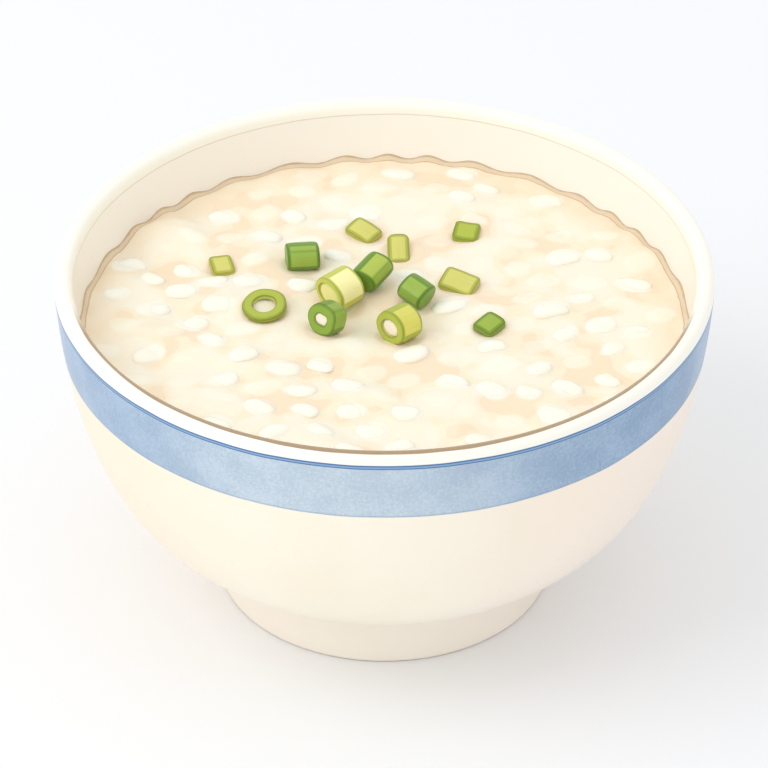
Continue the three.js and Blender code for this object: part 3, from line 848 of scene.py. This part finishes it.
def fill_tube(name, material, node, turning, lift, across, deep, length):
    """What fills a tube's hollow to just short of both its cuts: a ball, blunted to fit it."""
    bpy.ops.object.select_all(action="DESELECT")
    bpy.ops.mesh.primitive_uv_sphere_add(segments=32, ring_count=16, radius=0.5)
    plug = bpy.context.object
    plug.name = "inside_" + name
    for corner in plug.data.vertices:
        x_off, y_off, z_off = corner.co
        reach = 2 * math.hypot(x_off, y_off)
        blunt = 1.03 * reach ** -FILL_BLUNTNESS if reach > 1e-6 else 0
        flat = abs(2 * z_off) ** -FILL_BLUNTNESS if abs(z_off) > 1e-6 else 0
        corner.co = (x_off * deep * blunt, y_off * across * blunt, z_off * length * flat)
    lay(plug, turning, name, lift, node, material)


cut_tube("ring_flat", flat_green, lift=0.00185, heading=-105, pitch=74,
         across=0.0101, deep=0.0100, wall=0.0024, length=0.0016)
turning = cut_tube("ring_green", ring_green, lift=0.0035, heading=-132, pitch=14,
                   across=0.0088, deep=0.0076, wall=0.0025, length=0.0045,
                   face=125, crease=14, squared=0.06)
fill_tube("ring_green", starch, "congee", turning, lift=0.0035,
          across=0.0043, deep=0.0031, length=0.0042)
turning = cut_tube("tube_front", front_green, lift=0.0037, heading=-135, pitch=4,
                   across=0.0090, deep=0.0079, wall=0.0019, length=0.0066, face=132)
fill_tube("tube_front", starch, "congee", turning, lift=0.0037,
          across=0.0052, deep=0.0041, length=0.0062)
turning = cut_tube("tube_pale", stem_cream, lift=0.0041, heading=-138, pitch=-4,
                   across=0.0098, deep=0.0090, wall=0.0013, length=0.0072, face=133)
fill_tube("tube_pale", stem_core, "scallion_tube_pale", turning, lift=0.0041,
          across=0.0072, deep=0.0064, length=0.0069)
cut_tube("tube_left", leaf_green, lift=0.0028, heading=-174, pitch=0,
         across=0.0072, deep=0.0062, wall=0.00095, length=0.0076,
         face=123, crease=22, shut=True)
cut_tube("tube_leaning", young_green, lift=0.0036, heading=-128, pitch=-14,
         across=0.0073, deep=0.0061, wall=0.00095, length=0.0080,
         face=143, crease=-14, shade_past_crease=0.5, shut=True)
cut_tube("tube_right", leaf_green, lift=0.0032, heading=-38, pitch=-13,
         across=0.0074, deep=0.0061, wall=0.00095, length=0.0066,
         face=-132, crease=13, shade_past_crease=0.8, shut=True)

# ---------------------------------------------------------------------------
# Scallion chips: short cuts whose wall has split and opened out, so each is a bowed square
# of leaf with rounded corners. They lie skin side up, their near edges sunk in the congee.
# ---------------------------------------------------------------------------
CHIP_THICKNESS = 0.00125
CHIP_BOW = 0.0005
CHIP_CORNER = 0.0013
CHIP_BORDER = 0.001
CHIP_WAVE = 0.00025
CHIP_CURL = 0.0002


def leaf_chip(name, material, lift, lean, turn, length, width):
    """A bowed chip. turn swings its length round, and lean tips its face, in degrees."""
    bpy.ops.object.select_all(action="DESELECT")
    bpy.ops.mesh.primitive_grid_add(x_subdivisions=24, y_subdivisions=20, size=1)
    chip = bpy.context.object
    chip.name = name
    flat = np.array([corner.co for corner in chip.data.vertices]) * (length, width, 1)
    core = np.array((length / 2 - CHIP_CORNER, width / 2 - CHIP_CORNER))
    past = np.clip(np.abs(flat[:, :2]) - core, 0, None)
    corner_fit = np.max(past, axis=1) / np.maximum(np.hypot(past[:, 0], past[:, 1]), 1e-9)
    corner_fit = np.where(np.min(past, axis=1) > 0, corner_fit, 1)[:, None]
    inside = np.minimum(np.abs(flat[:, :2]), core)
    flat[:, :2] = np.sign(flat[:, :2]) * (inside + past * corner_fit)
    chip.data.vertices.foreach_set("co", flat.ravel())
    thicken = chip.modifiers.new("leaf_wall", "SOLIDIFY")
    thicken.thickness = CHIP_THICKNESS
    thicken.offset = 0
    bpy.ops.object.modifier_apply(modifier="leaf_wall")
    ease_cuts(chip)

    co = np.array([corner.co for corner in chip.data.vertices])
    past = np.abs(co[:, :2]) - core
    outside = np.hypot(*np.clip(past, 0, None).T) + np.minimum(np.max(past, axis=1), 0)
    from_cut = np.maximum(CHIP_CORNER - outside, 0)
    store(chip.data, "stalk_place", "FLOAT_VECTOR", co[:, [2, 1, 0]])
    store(chip.data, "from_cut", "FLOAT", from_cut)
    store(chip.data, "depth", "FLOAT", 0.5 - co[:, 2] / CHIP_THICKNESS)

    # It bows across the stalk, waves a little along it, and its cut edges curl down.
    radius = (width ** 2 / 4 + CHIP_BOW ** 2) / (2 * CHIP_BOW)
    co[:, 2] += np.sqrt(radius ** 2 - co[:, 1] ** 2) - radius
    x, y, _ = SCALLION_LIES[name]
    co[:, 2] += CHIP_WAVE * np.sin(500 * co[:, 0] + 900 * x) - CHIP_CURL * (from_cut < 0.0001)
    chip.data.vertices.foreach_set("co", co.ravel())
    turning = (Matrix.Rotation(math.radians(lean), 4, "X")
               @ Matrix.Rotation(math.radians(turn), 4, "Z"))
    lay(chip, turning, name, lift, "scallion_" + name, material)


pale_leaf = scallion_skin("pale_leaf", (219, 216, 119), (184, 186, 80),
                          (184, 186, 80), (212, 210, 118), CHIP_BORDER)
far_leaf = scallion_skin("mid_leaf", (181, 196, 76), (156, 172, 58),
                         (152, 168, 54), (172, 190, 88), CHIP_BORDER)
near_leaf = scallion_skin("near_leaf", (160, 185, 72), (126, 154, 52),
                          (122, 150, 48), (160, 186, 86), CHIP_BORDER)

leaf_chip("chip_west", pale_leaf, lift=0.0012, lean=14, turn=15,
          length=0.0054, width=0.0062)
leaf_chip("chip_north", pale_leaf, lift=0.00145, lean=14, turn=-40,
          length=0.0077, width=0.0060)
leaf_chip("chip_upright", pale_leaf, lift=0.0012, lean=18, turn=-88,
          length=0.0082, width=0.0052)
leaf_chip("chip_east", pale_leaf, lift=0.00145, lean=14, turn=-24,
          length=0.0086, width=0.0070)
leaf_chip("chip_far", far_leaf, lift=0.00125, lean=14, turn=-13,
          length=0.0061, width=0.0061)
leaf_chip("chip_near", near_leaf, lift=0.00135, lean=14, turn=50,
          length=0.0066, width=0.0056)

# ---------------------------------------------------------------------------
# Table, light and camera: a plain white table, an even white room, one large soft lamp to
# the upper left, and a long lens a metre from the rim that looks down on the congee.
# ---------------------------------------------------------------------------
LENS = 206.4
RIM_TO_CAMERA = 1.0
CAMERA_ELEVATION = math.radians(33.3)
CAMERA_PITCH = math.radians(34.85)
CAMERA_SIDE = -0.00011
TABLE_SIZE = 6
ROOM_BRIGHTNESS = 0.92
LAMP_AIM = Vector((0, 0, 0.04))

bpy.ops.object.select_all(action="DESELECT")
bpy.ops.mesh.primitive_plane_add(size=TABLE_SIZE)
table = bpy.context.object
table.name = "table"
white, _, shader, _ = new_material("table_white", Roughness=0.9, Specular_IOR_Level=0.1)
shader["Base Color"].default_value = srgb(245, 247, 250)
table.data.materials.append(white)

room = bpy.data.worlds.new("white_room")
room.use_nodes = True
air = room.node_tree.nodes["Background"].inputs
air["Color"].default_value = (1, 1, 1, 1)
air["Strength"].default_value = ROOM_BRIGHTNESS
bpy.context.scene.world = room


def soft_lamp(name, location, size, power):
    """A square lamp aimed at the middle of the bowl."""
    light = bpy.data.lights.new(name, "AREA")
    light.shape = "SQUARE"
    light.size = size
    light.energy = power
    lamp = bpy.data.objects.new(name, light)
    lamp.location = location
    lamp.rotation_euler = (LAMP_AIM - lamp.location).to_track_quat("-Z", "Y").to_euler()
    bpy.context.scene.collection.objects.link(lamp)


soft_lamp("key_lamp", location=(-0.8, -0.35, 0.95), size=0.8, power=4.0)

lens = bpy.data.cameras.new("camera")
lens.lens = LENS
lens.sensor_width = 36
camera = bpy.data.objects.new("camera", lens)
camera.location = (CAMERA_SIDE, -RIM_TO_CAMERA * math.cos(CAMERA_ELEVATION),
                   BOWL_HEIGHT + RIM_TO_CAMERA * math.sin(CAMERA_ELEVATION))
camera.rotation_euler = (math.pi / 2 - CAMERA_PITCH, 0, 0)
bpy.context.scene.collection.objects.link(camera)
bpy.context.scene.camera = camera
bpy.context.scene.view_settings.view_transform = "Standard"
